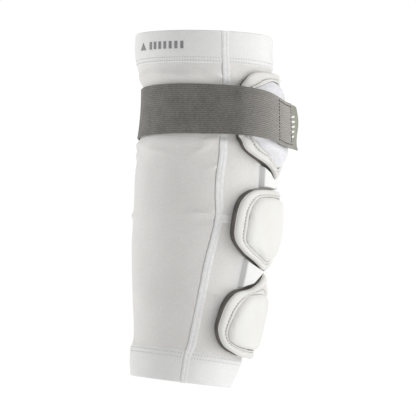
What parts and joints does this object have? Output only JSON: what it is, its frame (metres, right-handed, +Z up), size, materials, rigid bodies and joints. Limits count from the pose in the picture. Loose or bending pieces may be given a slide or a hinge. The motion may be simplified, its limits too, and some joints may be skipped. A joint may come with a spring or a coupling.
{
  "type": "lacrosse arm pad",
  "caption": "Lacrosse arm pad: compression sleeve for a bent left arm, with raised pads behind the elbow, moulded bridges between them and a ribbed elastic strap with a hook tab.",
  "frame": {"origin": "the middle of the arm hollow at the height of the elbow, where the arm holds the sleeve", "axes": "+Z up the upper arm to the shoulder, -Y the padded back of the elbow, +Y the front of the arm, -X its outer side"},
  "size_m": [0.1107, 0.1442, 0.3069],
  "materials": {
    "knit": "fine white compression knit",
    "seam": "raised flatlock stitching",
    "foam": "matt dark foam",
    "rim": "smooth coated cloth",
    "smooth_cap": "smooth coated cloth",
    "brushed_cap": "brushed loop cloth",
    "moulding": "satin moulded rubber",
    "elastic": "ribbed grey elastic",
    "tab": "olive grey hook tape"
  },
  "bodies": {
    "root": {"front_panel": "knit", "back_panel_upper": "knit", "back_panel_lower": "knit", "upper_hem_front": "knit", "upper_hem_back": "knit", "lower_hem_front": "knit", "lower_hem_back": "knit", "outer_seam": "seam", "inner_seam": "seam", "cross_seam": "seam", "upper_pad_foam": "foam", "upper_pad_rim": "rim", "upper_pad_piping": "rim", "upper_pad_cap": "brushed_cap", "elbow_pad_foam": "foam", "elbow_pad_rim": "rim", "elbow_pad_piping": "rim", "elbow_pad_cap": "smooth_cap", "forearm_pad_foam": "foam", "forearm_pad_rim": "rim", "forearm_pad_piping": "rim", "forearm_pad_cap": "smooth_cap", "upper_link": "moulding", "lower_link": "moulding", "strap": "elastic", "hook_tab": "tab"}
  },
  "joints": []
}
